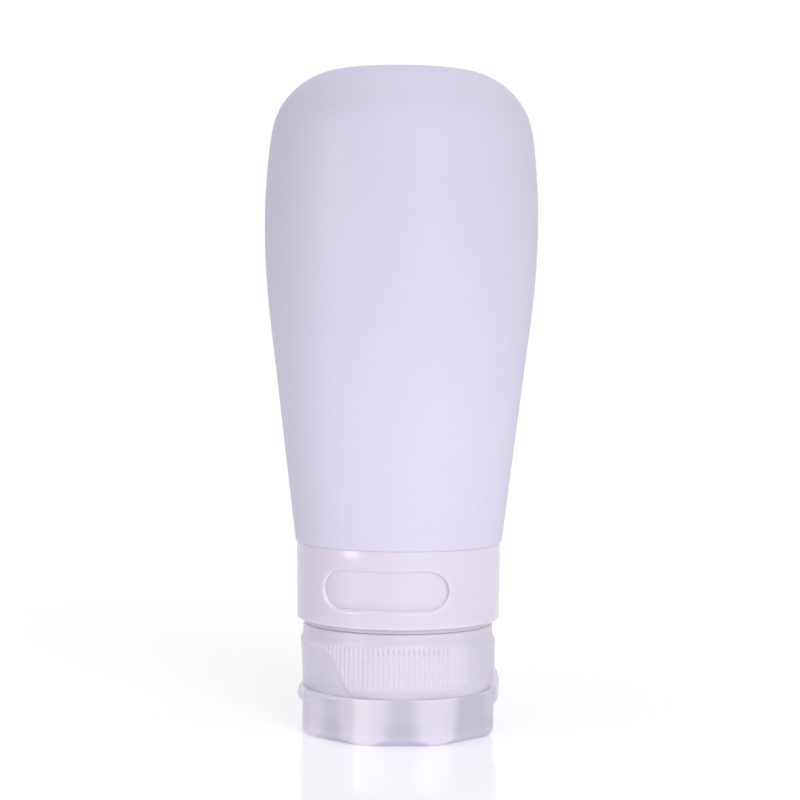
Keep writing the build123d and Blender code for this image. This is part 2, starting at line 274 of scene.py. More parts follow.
@dataclass
class Nodes:
    """A tree of shader nodes that is filled node by node."""

    tree: bpy.types.NodeTree

    def feed(self, node: bpy.types.Node, inputs: dict[str | int, object]) -> None:
        """Sets a node's inputs: a socket is linked, and anything else is its plain value.

        Args:
            node: the node.
            inputs: a socket or a value for each input, by name or number.
        """
        for key, value in inputs.items():
            if isinstance(value, Socket):
                self.tree.links.new(value, node.inputs[key])
            else:
                node.inputs[key].default_value = value

    def add(
        self, kind: str, inputs: dict[str | int, object], output: str | int = 0, **settings: object
    ) -> Socket:
        """Adds a node, and sets it up before its inputs, which can depend on its settings.

        Args:
            kind: its type, without the ShaderNode in front.
            inputs: a socket or a value for each input, by name or number.
            output: the wanted output, by name or number.
            settings: the node's other settings.

        Returns:
            The output's socket.
        """
        node = self.tree.nodes.new(f"ShaderNode{kind}")
        for name, setting in settings.items():
            setattr(node, name, setting)
        self.feed(node, inputs)
        return node.outputs[output]

    def mix(self, factor: Socket, first: Socket | Triple, second: Socket | Triple) -> Socket:
        """Runs from the first colour at factor 0 to the second at factor 1, evenly."""
        a, b = ((*end, 1.0) if isinstance(end, tuple) else end for end in (first, second))
        return self.add("Mix", {"Factor": factor, "A": a, "B": b}, "Result", data_type="RGBA")


@dataclass(frozen=True)
class Plastic:
    """A moulded finish: colour with slow clouding, a fine grain and some light let through."""

    name: str
    colour: Triple
    cloud_colour: Triple
    roughness: float
    # Colours of painted light and shade: the first is taken where the piece's tone falls to 0, the
    # second where it goes past 1.
    zero_tone_colour: Triple | None = None
    painted_light_colour: Triple | None = None
    roughness_spread: float = 0.04
    subsurface: float = 0.0
    subsurface_depth: float = 1.5 * MM
    subsurface_tint: Triple = (1.0, 0.9, 1.1)
    transmission: float = 0.0
    index: float = 1.45
    cloud_scale: float = 60.0
    cloud_detail: float = 3.0
    grain_scale: float = 2600.0
    grain_detail: float = 2.0
    grain_depth: float = 0.02 * MM
    grain_strength: float = 0.3

    def build(self) -> bpy.types.Material:
        """Makes the node material.

        Noise of the piece's own coordinates mixes the two colours, moves the roughness and
        lifts the grain. The piece's light and shade attribute carries painted light and shade:
        where it falls to 0, the colour runs over to the colour of tone 0, which is painted shade
        for a thin milky wall and painted light on the collar. Where it goes past 1, up to 2, it
        runs over to the colour of painted light.

        Returns:
            The material.
        """
        material = bpy.data.materials.get(self.name)
        if material:
            return material
        material = bpy.data.materials.new(self.name)
        material.use_nodes = True
        nodes = Nodes(material.node_tree)
        place = nodes.add("TexCoord", {}, "Object")
        noise = {"Vector": place, "Scale": self.cloud_scale, "Detail": self.cloud_detail}
        cloud = nodes.add("TexNoise", noise, "Fac")
        colour = nodes.mix(cloud, self.colour, self.cloud_colour)
        if self.zero_tone_colour:
            # Painted light and shade, read from the piece's own attribute.
            light_and_shade = nodes.add("Attribute", {}, "Fac", attribute_name=LIGHT_AND_SHADE)
            colour = nodes.mix(light_and_shade, self.zero_tone_colour, colour)
        if self.zero_tone_colour and self.painted_light_colour:
            past = nodes.add("Math", {0: light_and_shade, 1: 1.0}, operation="SUBTRACT", use_clamp=True)
            colour = nodes.mix(past, colour, self.painted_light_colour)
        rough = nodes.add("MapRange", {
            "Value": cloud,
            "To Min": self.roughness - self.roughness_spread,
            "To Max": self.roughness + self.roughness_spread,
        }, "Result")
        noise = {"Vector": place, "Scale": self.grain_scale, "Detail": self.grain_detail}
        bump = nodes.add("Bump", {
            "Height": nodes.add("TexNoise", noise, "Fac"),
            "Strength": self.grain_strength,
            "Distance": self.grain_depth,
        }, "Normal")
        nodes.feed(material.node_tree.nodes["Principled BSDF"], {
            "Base Color": colour,
            "Roughness": rough,
            "Normal": bump,
            "Subsurface Weight": self.subsurface,
            "Subsurface Scale": self.subsurface_depth,
            "Subsurface Radius": self.subsurface_tint,
            "Transmission Weight": self.transmission,
            "IOR": self.index,
        })
        return material


def set_light_and_shade(
    piece: bpy.types.Object, thickness: Field, thin: float, thick: float, edge: Field | None = None
) -> None:
    """Stores painted light and shade: a smooth step of the wall's thickness, plus painted light.

    Args:
        piece: the piece.
        thickness: gives the wall's thickness with painted light and shade added, for vertices of
            shape (count, 3).
        thin: the thickness that gives 0.
        thick: the thickness that gives 1.
        edge: gives 1 for vertices in full painted light, less for fainter painted light and 0 for
            none.
    """
    mesh = piece.data
    flat = np.empty(3 * len(mesh.vertices))
    mesh.vertices.foreach_get("co", flat)
    place = flat.reshape(-1, 3)
    value = smooth_step(thickness(place), thin, thick)
    if edge:
        glow = edge(place)
        value = np.where(glow < 1.0, value + glow, 2.0)
    mesh.attributes.new(LIGHT_AND_SHADE, "FLOAT", "POINT").data.foreach_set("value", value)


def dress(
    piece: bpy.types.Object, finish: Plastic, body: Body, node: str
) -> bpy.types.Object:
    """Gives a piece its finish, its body and the CAD node that it stands for.

    Args:
        piece: the piece.
        finish: its finish.
        body: the body that it moves with.
        node: the CAD node that it replaces.

    Returns:
        The piece.
    """
    piece.data.materials.append(finish.build())
    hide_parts(node)
    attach(piece, body.value)
    return piece


SILICONE = Plastic(
    "lilac_silicone",
    colour=(0.735, 0.700, 0.885),
    cloud_colour=(0.755, 0.722, 0.900),
    # Painted shade: the darker colour that the belly's upper part runs to.
    zero_tone_colour=(0.650, 0.622, 0.780),
    roughness=0.52,
    subsurface=0.35,
    subsurface_depth=1.2 * MM,
)
COLLAR_PLASTIC = Plastic(
    "blush_collar",
    colour=(0.795, 0.76, 0.915),
    cloud_colour=(0.83, 0.735, 0.885),
    # Painted light on the window's bevel and reveal, the inner side and the ends.
    zero_tone_colour=(0.96, 0.93, 0.99),
    roughness=0.22,
    subsurface=0.35,
    subsurface_depth=0.8 * MM,
    transmission=0.05,
)
LABEL_PLASTIC = Plastic(
    "content_label",
    colour=(0.745, 0.705, 0.845),
    cloud_colour=(0.765, 0.71, 0.845),
    roughness=0.35,
)
NECK_PLASTIC = Plastic(
    "blush_neck",
    colour=(0.66, 0.57, 0.685),
    cloud_colour=(0.68, 0.59, 0.70),
    roughness=0.34,
    subsurface=0.3,
)
CAP_PLASTIC = Plastic(
    "milky_cap",
    colour=(0.825, 0.785, 0.94),
    cloud_colour=(0.85, 0.80, 0.95),
    # Darker tone for painted shade, and painted light for the inner side.
    zero_tone_colour=(0.755, 0.715, 0.85),
    painted_light_colour=(0.98, 0.95, 1.0),
    roughness=0.34,
    subsurface=0.3,
    subsurface_depth=1.0 * MM,
    transmission=0.1,
)
LID_PLASTIC = Plastic(
    "milky_lid",
    colour=(0.80, 0.76, 0.90),
    cloud_colour=(0.82, 0.775, 0.91),
    # Darker tone for painted shade, and painted light for ledges, pocket and two corners.
    zero_tone_colour=(0.605, 0.575, 0.72),
    painted_light_colour=(0.98, 0.95, 1.0),
    roughness=0.22,
    subsurface=0.3,
    subsurface_depth=1.0 * MM,
    transmission=0.1,
)
VALVE_SILICONE = Plastic(
    "soft_valve",
    colour=(0.85, 0.85, 0.90),
    cloud_colour=(0.87, 0.87, 0.91),
    roughness=0.4,
    subsurface=0.3,
)
CLAMP_PLASTIC = Plastic(
    "chalky_clamp",
    colour=(0.80, 0.78, 0.85),
    cloud_colour=(0.82, 0.80, 0.87),
    roughness=0.5,
)


def barbed_side(low: float, high: float) -> list[Triple]:
    """Corners up the barbed tube, whose three barbs each step out and then slope back in.

    Args:
        low: the height in millimetres under which barbs are left out.
        high: the height of the last corner.

    Returns:
        The corners, as (radius, height, rounding).
    """
    rise, first, pitch, length = 0.35, 23.85, 3.4, 2.4
    corners = []
    for foot in (first, first + pitch, first + 2 * pitch):
        if low < foot:
            crest = (TUBE_RADIUS + rise, foot, 0.04)
            corners += [(TUBE_RADIUS, foot, 0.0), crest, (TUBE_RADIUS, foot + length, 0.0)]
    return [*corners, (TUBE_RADIUS, high, 0.0)]


@dataclass(frozen=True)
class TurnedRing:
    """A plain ring turned about the bottle's axis from the corners of its half section."""

    node: str
    body: Body
    slot: Slot
    finish: Plastic
    corners: tuple[Triple, ...]

    def build(self) -> bpy.types.Object:
        """Turns the closed section, whose corners run outwards below and inwards above.

        Returns:
            The dressed piece.
        """
        section = divided(rounded(list(self.corners), close=True))
        skin = Skin(f"turned_{self.node}")
        skin.turn(section, turns(RING_COLUMNS))
        return dress(skin.build(), self.finish, self.body, self.node)


@dataclass(frozen=True)
class Thread:
    """A right-handed screw ridge in two starts, which fades out at both ends.

    Its rise is positive on the outside of a wall and negative inside one. The sizes of its
    section are plain millimetres.
    """

    wall_radius: float
    rise: float
    foot: float
    turns: float
    lead: float = 6.0 * MM
    starts: int = 2
    half_base: float = 0.65
    half_crest: float = 0.3
    crest_edge: float = 0.16
    sink: float = 0.08
    fade: float = math.radians(28.0)
    columns: int = 120

    def add_to(self, skin: Skin) -> None:
        """Sweeps the ridge's section along height = foot + lead * angle / full turn.

        Args:
            skin: the skin that takes the ridges.
        """
        height = abs(self.rise) / MM
        side = math.copysign(1.0, self.rise)
        section = rounded([
            (-self.half_base, -self.sink, 0.0),
            (-self.half_base, 0.0, 0.0),
            (-self.half_crest, height, self.crest_edge),
            (self.half_crest, height, self.crest_edge),
            (self.half_base, 0.0, 0.0),
            (self.half_base, -self.sink, 0.0),
        ], steps=3)
        section = np.vstack([section, section[:1]])
        run = np.linspace(0.0, self.turns * FULL_TURN, self.columns)
        share = smooth_step(run, 0.0, self.fade) * smooth_step(run[-1] - run, 0.0, self.fade)
        radius = self.wall_radius + side * section[:, 1:] * share
        level = self.foot + self.lead * run / FULL_TURN + section[:, :1] * np.sqrt(share)
        for start in range(self.starts):
            angle = run + FULL_TURN * start / self.starts
            skin.add(turned(radius, level, angle), flip=side < 0)


@dataclass
class SqueezeBody:
    """The soft silicone body: a slack shell with a cuff that grips the barbed tube.

    The sizes from the cuff to the mouth's edge are plain millimetres.
    """

    belly_radius: float = 24.35 * MM
    belly_level: float = 91.1 * MM
    flank_radius: float = 108.0 * MM
    shoulder_radius: float = 13.3 * MM
    crown_radius: float = 102.0 * MM
    blend_radius: float = 143.0 * MM
    cone_lean: float = math.radians(6.93)
    wall: float = 2.1 * MM
    cuff_radius: float = 14.9
    cuff_foot: float = 23.5
    rest: float = 33.9
    flare: float = 39.2
    mouth_edge: float = 0.6
    # Heights of the painted shade on the belly: full colour up to the first, full shade from the
    # second, and full colour again over the crown's bend.
    full_light_level: float = 45.0 * MM
    full_shade_level: float = 105.0 * MM
    crown_light_level: float = 110.0 * MM
    crown_light_rise: float = 8.0 * MM
    columns: int = 256

    def centres(self) -> list[Array]:
        """Centres of the blend, flank, shoulder and crown arcs, each arc in line with the next.

        The shoulder's centre lies where two circles cross: one round the flank's centre
        and one round the crown's, each smaller than its arc by the shoulder's radius.

        Returns:
            The four centres, as (radius, height).
        """
        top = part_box("silicone_body")[1].z
        blend = np.array([self.belly_radius - self.blend_radius, self.belly_level])
        flank = np.array([self.belly_radius - self.flank_radius, self.belly_level])
        crown = np.array([0.0, top - self.crown_radius])
        from_flank = self.flank_radius - self.shoulder_radius
        from_crown = self.crown_radius - self.shoulder_radius
        way = crown - flank
        apart = float(np.linalg.norm(way))
        along = (from_flank**2 - from_crown**2 + apart**2) / (2.0 * apart)
        aside = math.sqrt(from_flank**2 - along**2)
        step = way / apart
        across = np.array([-step[1], step[0]])
        return [blend, flank, flank + along * step + aside * across, crown]

    def side(self, inset: float, steps: int) -> Array:
        """The outline from the cone's top to the crown's pole, moved inwards by inset.

        Args:
            inset: how far inside the outer face it runs.
            steps: the number of spans in each arc.

        Returns:
            The outline's points, of shape (points, 2).
        """
        blend, flank, shoulder, crown = self.centres()
        lower = math.atan2(*(shoulder - flank)[::-1])
        upper = math.atan2(*(shoulder - crown)[::-1])
        arcs = [
            (blend, self.blend_radius, -self.cone_lean, 0.0),
            (flank, self.flank_radius, 0.0, lower),
            (shoulder, self.shoulder_radius, lower, upper),
            (crown, self.crown_radius, upper, math.pi / 2.0),
        ]
        points = []
        for centre, radius, first, last in arcs:
            angle = np.linspace(first, last, steps + 1)
            circle = np.stack([np.cos(angle), np.sin(angle)], axis=1)
            points.append(centre + (radius - inset) * circle)
        side = np.vstack([points[0], *[arc[1:] for arc in points[1:]]])
        side[-1, 0] = 0.0
        return side

    def cone(self, side: Array, height: float) -> Pair:
        """Radius and height of the cone under a side's start: start - drop * tan(lean), in mm."""
        drop = side[0, 1] - height * MM
        return (side[0, 0] - drop * math.tan(self.cone_lean)) / MM, height

    def build(self) -> bpy.types.Object:
        """Turns one closed section: down the inside, round the cuff and up the outside.

        Returns:
            The dressed piece.
        """
        outer, inner = self.side(0.0, 24), self.side(self.wall, 12)
        foot = rounded([
            (*(inner[0] / MM), 0.0),
            (*self.cone(inner, self.flare), 0.6),
            *barbed_side(self.cuff_foot, TUBE_TOP)[::-1],
            (TUBE_RADIUS, self.cuff_foot, 0.15),
            (self.cuff_radius, self.cuff_foot, 0.3),
            (self.cuff_radius, self.rest, 0.2),
            (*self.cone(outer, self.rest), self.mouth_edge),
            (*(outer[0] / MM), 0.0),
        ], steps=7)
        section = np.vstack([inner[::-1][:-1], divided(foot), outer[1:]])
        skin = Skin("squeeze_body", crease=math.radians(60.0))
        skin.turn(section, turns(self.columns))
        piece = skin.build()
        # Painted shade that darkens the belly's upper part.
        set_light_and_shade(piece, self.belly_light, 0.0, 1.0)
        return dress(piece, SILICONE, Body.BOTTLE, "silicone_body")

    def belly_light(self, place: Array) -> Array:
        """Painted shade on the belly: full colour low down, less up to the bare belly, full again
        over the crown's bend.

        Args:
            place: the vertices.

        Returns:
            The share of the full colour, from 0 under the full painted shade to 1.
        """
        span = self.full_shade_level - self.full_light_level
        below = np.clip((self.full_shade_level - place[:, 2]) / span, 0.0, 1.0)
        above = np.clip((place[:, 2] - self.crown_light_level) / self.crown_light_rise, 0.0, 1.0)
        return np.maximum(below, above)


@dataclass
class NeckInsert:
    """The hard neck: threaded spout, bead between cap and collar, flange and barbed tube.

    Its sizes are plain millimetres.
    """

    bore: float = 11.8
    rim: float = 10.7
    spout: float = 14.1
    bead: float = 16.95
    bead_foot: float = 19.63
    bead_top: float = 20.34
    flange: float = 16.95
    flange_foot: float = 21.05
    flange_top: float = 22.25
    tube_edge: float = 0.4

    def build(self) -> bpy.types.Object:
        """Turns the neck and sweeps its outer thread.

        Returns:
            The dressed piece.
        """
        corners = [
            (self.bore, self.rim, 0.4),
            (self.spout, self.rim, 0.4),
            (self.spout, self.bead_foot, 0.1),
            (self.bead, self.bead_foot, 0.15),
            (self.bead, self.bead_top, 0.15),
            (self.spout, self.bead_top, 0.1),
            (self.spout, self.flange_foot, 0.15),
            (self.flange, self.flange_foot, 0.15),
            (self.flange, self.flange_top, 0.15),
            (TUBE_RADIUS, self.flange_top, 0.0),
            *barbed_side(self.flange_top, TUBE_TOP - self.tube_edge),
            (TUBE_RADIUS - self.tube_edge, TUBE_TOP, 0.0),
            (self.bore, TUBE_TOP, 0.2),
        ]
        section = divided(rounded(corners, close=True))
        skin = Skin("threaded_neck")
        skin.turn(section, turns(RING_COLUMNS))
        Thread(self.spout * MM, 1.0 * MM, foot=12.4 * MM, turns=1.12).add_to(skin)
        return dress(skin.build(), NECK_PLASTIC, Body.BOTTLE, "neck_insert")


@dataclass
class CollarSleeve:
    """The turning collar: a thin tapered sleeve with an inner lip and a long window.

    Its sizes are plain millimetres, apart from those that its light and shade use.
    """

    foot: float = 20.42
    top: float = 33.87
    brim: float = 34.0
    brim_width: float = 0.35
    foot_radius: float = 18.1
    top_radius: float = 18.25
    bore: float = 17.3
    lip_radius: float = 14.3
    lip_top: float = 21.0
    window_middle: float = 27.05
    window_length: float = 21.6
    window_height: float = 6.75
    window_angle: float = FRONT - math.radians(10.1)
    bevel: float = 0.65
    # Depths where the painted light on the deep faces is full and where it starts, and the reach
    # and depth of the painted light along the ends.
    full_light_depth: float = -0.45 * MM
    light_start_depth: float = -0.1 * MM
    end_glow: float = 2.4 * MM
    end_depth: float = 0.18 * MM
    columns: int = 360
    frame_columns: int = 45
    frame_rows: int = 20
    frame_reach: float = 4.9

    def outer(self, height: Array) -> Array:
        """The outer radius in metres, which grows evenly with the height in metres."""
        share = (height / MM - self.foot) / (self.top - self.foot)
        return (self.foot_radius + (self.top_radius - self.foot_radius) * share) * MM

    def depth(self, place: Array) -> Array:
        """How far a vertex lies below the outer face, and a little more near the ends, which gives
        painted light on the deep faces and along the ends.

        Args:
            place: the vertices.

        Returns:
            The depths in metres as negative numbers, 0 on the outer face.
        """
        below = np.hypot(place[:, 0], place[:, 1]) - self.outer(place[:, 2])
        end = np.minimum(place[:, 2] - self.foot * MM, self.brim * MM - place[:, 2])
        return below - self.end_depth * smooth_step(end, self.end_glow, 0.0)

    def stadium(self, grow: float) -> Array:
        """The window's outline, a bar with round ends, in step with the frame's own points.

        Its lower and upper runs go from 45 degrees on one end arc to 45 degrees on the
        other, and its ends take the quarter turns between.

        Args:
            grow: how far outside the window it runs, in metres.

        Returns:
            Points (across, height) in metres, the last one on top of the first.
        """
        radius = self.window_height / 2 * MM + grow
        half = (self.window_length - self.window_height) / 2 * MM
        reach = half + radius * math.pi / 4
        run = np.linspace(0.0, 2 * reach, 2 * self.frame_columns + 1)[:-1] - reach
        bend = np.clip(np.abs(run) - half, 0.0, None) / radius * np.sign(run)
        across = np.clip(run, -half, half) + radius * np.sin(bend)
        low = np.stack([across, -radius * np.cos(bend)], axis=1)
        turn = np.linspace(-math.pi / 4, math.pi / 4, self.frame_rows + 1)[:-1]
        right = np.stack([half + radius * np.cos(turn), radius * np.sin(turn)], axis=1)
        outline = np.vstack([low, right, -low, -right])
        outline[:, 1] += self.window_middle * MM
        return np.vstack([outline, outline[:1]])

    def frame(self, heights: Array, radius: Array) -> Array:
        """The four-sided patch border, on the same points as the sleeve's own grid.

        Args:
            heights: the rows of the patch, upwards.
            radius: the wall's radius at each row.

        Returns:
            Points (across, height), the last one on top of the first.
        """
        turn = np.radians(np.arange(-self.frame_columns, self.frame_columns + 1))
        sides = [
            (turn[:-1], heights[0], radius[0]),
            (turn[-1], heights[:-1], radius[:-1]),
            (turn[:0:-1], heights[-1], radius[-1]),
            (turn[0], heights[:0:-1], radius[:0:-1]),
        ]
        parts = []
        for angle, height, reach in sides:
            across = reach * np.sin(angle)
            parts.append(np.stack(np.broadcast_arrays(across, height), axis=1))
        return np.vstack([*parts, parts[0][:1]])

    def wrapped(self, flat: Array, radius: Array) -> Array:
        """Lays points (across, height) on the wall: angle = window's + asin(across / radius)."""
        angle = self.window_angle + np.arcsin(flat[..., 0] / radius)
        return np.stack([radius * np.cos(angle), radius * np.sin(angle), flat[..., 1]], axis=-1)

    def window(self, heights: Array) -> Array:
        """One grid from the outer border over the bevel and the reveal to the inner border.

        Args:
            heights: the rows of the patch, upwards.

        Returns:
            The grid of points, rings by border points.
        """
        outside = self.frame(heights, self.outer(heights))
        inside = self.frame(heights, np.full_like(heights, self.bore * MM))
        bevel = self.bevel * MM
        rings = []
        for share in np.linspace(0.0, 1.0, 9) ** 0.8:
            flat = outside + (self.stadium(bevel) - outside) * share
            rings.append(self.wrapped(flat, self.outer(flat[:, 1])))
        for turn in np.linspace(0.0, math.pi / 2, 5)[1:]:
            flat = self.stadium(bevel * (1.0 - math.sin(turn)))
            drop = bevel * (1.0 - math.cos(turn))
            rings.append(self.wrapped(flat, self.outer(flat[:, 1]) - drop))
        for share in np.linspace(0.0, 1.0, 7):
            flat = self.stadium(0.0) + (inside - self.stadium(0.0)) * share
            rings.append(self.wrapped(flat, np.full(len(flat), self.bore * MM)))
        return np.array(rings)

    def build(self) -> bpy.types.Object:
        """Turns the sleeve's ends and the rest of its walls, and fits the window patch.

        Returns:
            The dressed piece.
        """
        low, high = (self.window_middle + reach for reach in (-self.frame_reach, self.frame_reach))
        heights = np.linspace(low, high, self.frame_rows + 1) * MM
        radius = self.outer(heights)
        degrees = np.arange(self.columns + 1) + self.frame_columns
        columns = self.window_angle + np.radians(degrees)
        below = rounded([
            (self.bore, low, 0.0),
            (self.bore, self.lip_top, 0.15),
            (self.lip_radius, self.lip_top, 0.15),
            (self.lip_radius, self.foot, 0.15),
            (self.foot_radius, self.foot, 0.35),
            (radius[0] / MM, low, 0.0),
        ])
        above = rounded([
            (radius[-1] / MM, high, 0.0),
            (self.top_radius, self.brim, 0.06),
            (self.top_radius - self.brim_width, self.top, 0.0),
            (self.bore, self.top, 0.1),
            (self.bore, high, 0.0),
        ])
        skin = Skin("collar_sleeve_skin")
        skin.turn(below, columns).turn(above, columns)
        rest = columns[: self.columns + 1 - 2 * self.frame_columns]
        skin.add(turned(radius, heights, rest))
        skin.add(turned(np.full_like(heights, self.bore * MM), heights, rest), flip=True)
        skin.add(self.window(heights))
        piece = skin.build()
        # Painted light on the deep faces and along the ends.
        set_light_and_shade(piece, self.depth, self.full_light_depth, self.light_start_depth)
        return dress(piece, COLLAR_PLASTIC, Body.COLLAR, "collar_sleeve")


@dataclass
class ScrewCap:
    """The screw cap: ribbed skirt with a smooth hinge side, thumb scoop, deck and spout ring.

    The sizes from the lead-in to the scoop's taper are plain millimetres.
    """

    deck: float = 8.17 * MM
    top: float = 19.6 * MM
    foot_radius: float = 17.2 * MM
    full_radius: float = 17.46 * MM
    rim_radius: float = 16.98 * MM
    bore: float = 15.53 * MM
    thread_lead: float = 6.0 * MM
    # Painted light and shade on the cap's tone: the thread's bands through the wall, shade on the
    # hinge side and the foot, light on the tab side.
    thread_light_shade: float = 0.05 * MM
    hinge_shade: float = 0.8 * MM
    tab_light: float = 0.5 * MM
    foot_painted_shade: float = 0.7 * MM
    foot_shade: float = 2.9 * MM
    rib_foot: float = 10.0 * MM
    shoulder_foot: float = 16.3 * MM
    band_foot: float = 17.9 * MM
    rim_edge: float = 0.6 * MM
    foot_rise: float = 1.5 * MM
    foot_draw: float = 0.27 * MM
    rib_pitch: float = math.radians(3.0)
    rib_start: float = math.radians(61.5)
    rib_depth: float = 0.13 * MM
    rib_end_depth: float = 0.2 * MM
    rib_end: float = 15.5 * MM
    scoop_top: float = 16.7 * MM
    scoop_half_foot: float = 15.4 * MM
    scoop_half_top: float = 12.2 * MM
    scoop_corner: float = 2.6 * MM
    scoop_bevel: float = 0.4 * MM
    thin: float = 1.2 * MM
    thick: float = 2.05 * MM
    lead_in: float = 0.5
    deck_top: float = 9.6
    seat_top: float = 11.2
    seat_outer: float = 6.55
    seat_inner: float = 5.65
    orifice: float = 3.4
    spout: float = 4.6
    spout_foot: float = 6.6
    lap: float = 16.2
    scoop_depth: float = 0.5
    scoop_taper: float = 0.42
    # Share of the rim band's step given back as painted light.
    band_light_share: float = 0.2
    hinge_from: float = math.radians(56.0)
    hinge_full: float = math.radians(36.0)

    def columns(self) -> Array:
        """Angles from the back round the hinge side to the back, six for each rib."""
        half = np.radians(np.concatenate([np.arange(0.0, 60.0, 1.5), np.arange(60.0, 180.25, 0.5)]))
        return np.concatenate([-half[::-1], half[1:]])

    def skirt(self, height: Array) -> Array:
        """The plain skirt's radius: a drawn-in foot, a straight wall, a shoulder and a rim band.

        Args:
            height: the heights in metres.

        Returns:
            The radii in metres.
        """
        slant = np.clip((height - self.deck) / (self.rib_foot - self.deck), 0.0, 1.0)
        radius = self.foot_radius + (self.full_radius - self.foot_radius) * slant
        drop = smooth_step(height, self.shoulder_foot, self.band_foot)
        radius -= (self.full_radius - self.rim_radius) * drop
        over = np.clip(height - self.top + self.rim_edge, 0.0, self.rim_edge)
        radius -= self.rim_edge - np.sqrt(np.maximum(self.rim_edge**2 - over**2, 0.0))
        under = np.clip((self.deck + self.foot_rise - height) / self.foot_rise, 0.0, 1.0)
        return radius - self.foot_draw * under**2

    def grooved(self, height: Array, angle: Array) -> Array:
        """The radius that the grooves leave: full - depth * (1 - u)^2, u from groove to crest.

        The depth grows towards the grooves' upper ends.

        Args:
            height: the heights, as a column.
            angle: the angles, as a row.

        Returns:
            The radii, wide open where there is no groove.
        """
        number = (np.abs(angle) - self.rib_start) / self.rib_pitch
        u = 2.0 * np.abs(number - np.round(number))
        end = smooth_step(height, self.rib_end, self.shoulder_foot)
        groove = self.full_radius - (self.rib_depth + self.rib_end_depth * end) * (1.0 - u) ** 2
        return np.where((number > -0.5) & (height > self.rib_foot), groove, 1.0)

    def scoop(self, height: Array, angle: Array) -> Array:
        """How far a point lies inside the scoop's arch, in metres, seen along X.

        The arch is the overlap of two leaning sides and a flat top, with the corner between
        them rounded by the circle rule: corner - hypot of what each side falls short of it.

        Args:
            height: the heights, as a column.
            angle: the angles, as a row.

        Returns:
            The distance, positive inside, and negative on the hinge side.
        """
        across = np.abs(self.full_radius * np.sin(angle))
        lean = (self.scoop_half_foot - self.scoop_half_top) / (self.scoop_top - self.deck)
        half = self.scoop_half_foot - lean * (height - self.deck)
        side = np.minimum((half - across) / math.hypot(1.0, lean) - self.scoop_corner, 0.0)
        head = np.minimum(self.scoop_top - height - self.scoop_corner, 0.0)
        return np.where(np.cos(angle) < 0.0, self.scoop_corner - np.hypot(side, head), -1.0 * MM)

    def wall(self, height: Array, angle: Array) -> Array:
        """The skirt's outer radius with ribs and scoop.

        Args:
            height: the heights of the rows.
            angle: the angles of the columns.

        Returns:
            The radii, rows by columns.
        """
        level, turn = height[:, None], angle[None, :]
        radius = np.minimum(self.skirt(level), self.grooved(level, turn))
        share = (level - self.deck) / (self.scoop_top - self.deck)
        floor = self.full_radius - (self.scoop_depth - self.scoop_taper * share) * MM
        depth = np.maximum(radius - floor, 0.0)
        return radius - depth * smooth_step(self.scoop(level, turn), 0.0, self.scoop_bevel)

    def build(self) -> bpy.types.Object:
        """Builds the closed cap: inner side, deck and spout ring as turned, skirt as a field.

        Returns:
            The dressed piece.
        """
        columns = self.columns()
        bore, deck, ribs, shoulder, band, top = (size / MM for size in (
            self.bore, self.deck, self.rib_foot, self.shoulder_foot, self.band_foot, self.top
        ))
        inner = rounded([
            ((self.rim_radius - self.rim_edge) / MM, top, 0.0),
            (bore + self.lead_in, top, 0.0),
            (bore, top - self.lead_in, 0.2),
            (bore, self.deck_top, 0.4),
            (self.seat_outer, self.deck_top, 0.2),
            (self.seat_outer, self.seat_top, 0.15),
            (self.seat_inner, self.seat_top, 0.15),
            (self.seat_inner, self.deck_top, 0.0),
            (self.orifice, self.deck_top, 0.15),
            (self.orifice, self.spout_foot, 0.2),
            (self.spout, self.spout_foot, 0.2),
            (self.spout, deck, 0.2),
            (self.lap, deck, 0.0),
        ], steps=3)
        height = levels(
            (deck, ribs - 0.03, 14), (ribs - 0.03, ribs + 0.01, 1), (ribs + 0.01, shoulder, 26),
            (shoulder, band, 14), (band, top - 0.6, 4), (top - 0.6, top - 0.2, 3),
            (top - 0.2, top, 5),
        )
        radius = self.wall(height, columns)
        skin = Skin("ribbed_cap")
        skin.turn(inner, columns)
        close = np.vstack([np.full((1, len(columns)), self.lap * MM), radius[:1]])
        skin.add(turned(close, np.full(2, self.deck), columns))
        skin.add(turned(radius, height, columns))
        Thread(self.bore, -0.98 * MM, foot=10.9 * MM, turns=1.15).add_to(skin)
        piece = skin.build()
        # Painted light and shade from the wall's thickness, and painted light on the inner side.
        set_light_and_shade(piece, self.thickness, self.thin, self.thick, self.inside)
        return dress(piece, CAP_PLASTIC, Body.CAP, "cap_body")

    def thickness(self, place: Array) -> Array:
        """The wall's thickness, with painted light and shade added, which sets the cap's tone.

        To the wall itself come its inner thread, two ridges for each lead, as painted light and
        shade through the wall, and a share of the rim band's step and the tab side, as painted
        light. Painted shade takes some off the hinge side and the foot.

        Args:
            place: the vertices.

        Returns:
            The thicknesses in metres, full for the deck and the inner side.
        """
        x, y, z = place.T
        reach = np.hypot(x, y)
        wall = np.where(reach > self.bore + self.lead_in * MM, reach, self.full_radius) - self.bore
        band = self.band_light_share * (self.full_radius - self.rim_radius)
        wall += band * smooth_step(z, self.shoulder_foot, self.band_foot)
        phase = 2.0 * (z / self.thread_lead - np.arctan2(y, x) / FULL_TURN)
        wall += self.thread_light_shade * np.cos(FULL_TURN * phase)
        wall += self.tab_light * smooth_step(-x / self.full_radius, *SIDE_SPAN)
        start, end = math.cos(self.hinge_from), math.cos(self.hinge_full)
        wall -= self.hinge_shade * smooth_step(x / self.full_radius, start, end)
        return wall - self.foot_painted_shade * smooth_step(z, self.deck + self.foot_shade, self.deck)

    def inside(self, place: Array) -> Array:
        """1 on the inner side, where painted light stands in for light through the wall, and 0
        elsewhere.
        """
        inner = np.hypot(place[:, 0], place[:, 1]) < self.bore + 0.1 * MM
        return np.where(inner & (place[:, 2] > self.deck + 0.1 * MM), 1.0, 0.0)


